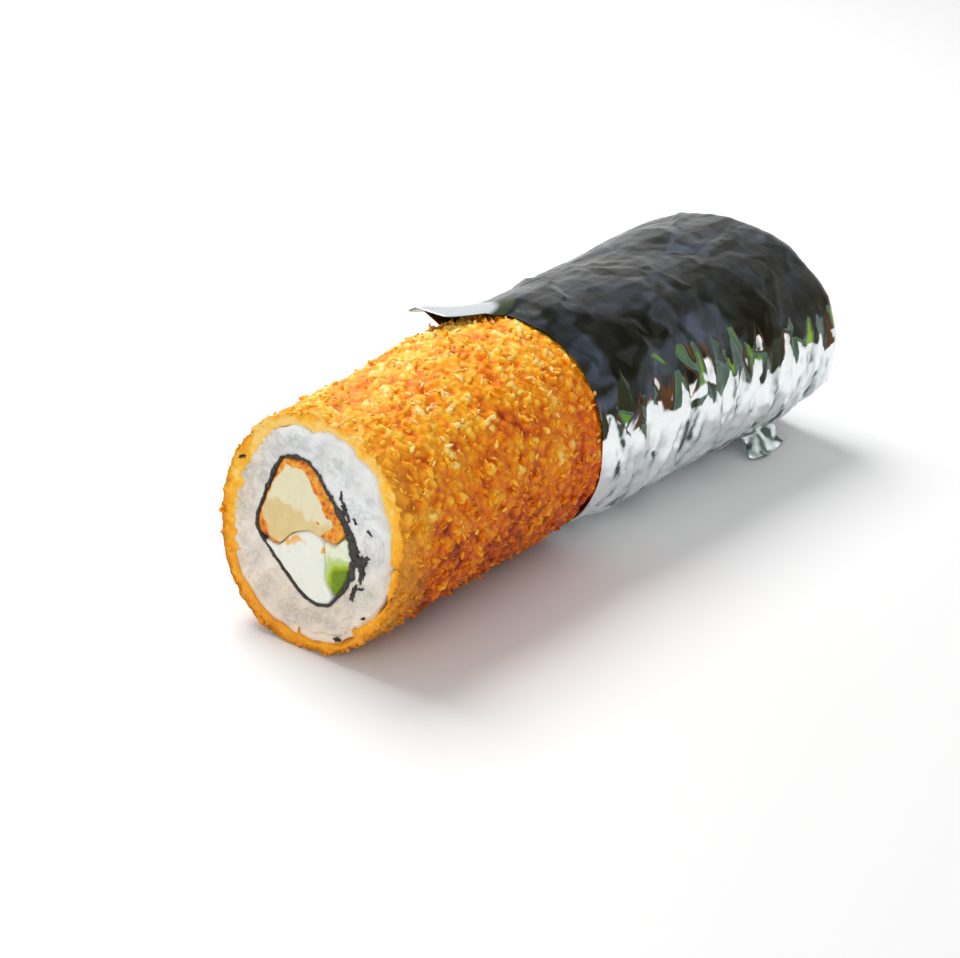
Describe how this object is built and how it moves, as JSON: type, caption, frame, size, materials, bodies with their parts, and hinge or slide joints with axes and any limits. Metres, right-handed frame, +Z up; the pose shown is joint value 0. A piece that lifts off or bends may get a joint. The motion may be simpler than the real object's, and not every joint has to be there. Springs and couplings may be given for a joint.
{
  "type": "fried sushi roll in foil",
  "caption": "Thick crumbed and deep-fried sushi roll with a cut end showing rice, nori, chicken, cream cheese and cucumber, its back half wrapped in kitchen foil.",
  "frame": {"origin": "middle of the bounding box, on the surface that the roll rests on", "axes": "+Z up; the roll lies along Y with its cut face towards -Y and its foil end towards +Y"},
  "size_m": [0.0738, 0.184, 0.0603],
  "materials": {
    "crumb_crust": "golden fried breadcrumbs, rough and slightly oily",
    "rice_layer": "pressed cooked sushi rice, moist",
    "nori_sheet": "roasted seaweed sheet, dark and matt",
    "chicken_strip": "cooked pale meat with a browned batter edge",
    "cream_cheese": "smooth soft white cheese",
    "cucumber_strip": "wet green vegetable strip",
    "foil_wrap": "bright crinkled kitchen foil"
  },
  "bodies": {
    "root": {"crumb_crust": "crumb_crust", "rice_layer": "rice_layer", "nori_sheet": "nori_sheet", "chicken_strip": "chicken_strip", "cream_cheese": "cream_cheese", "cucumber_strip": "cucumber_strip", "foil_wrap": "foil_wrap"}
  },
  "joints": []
}
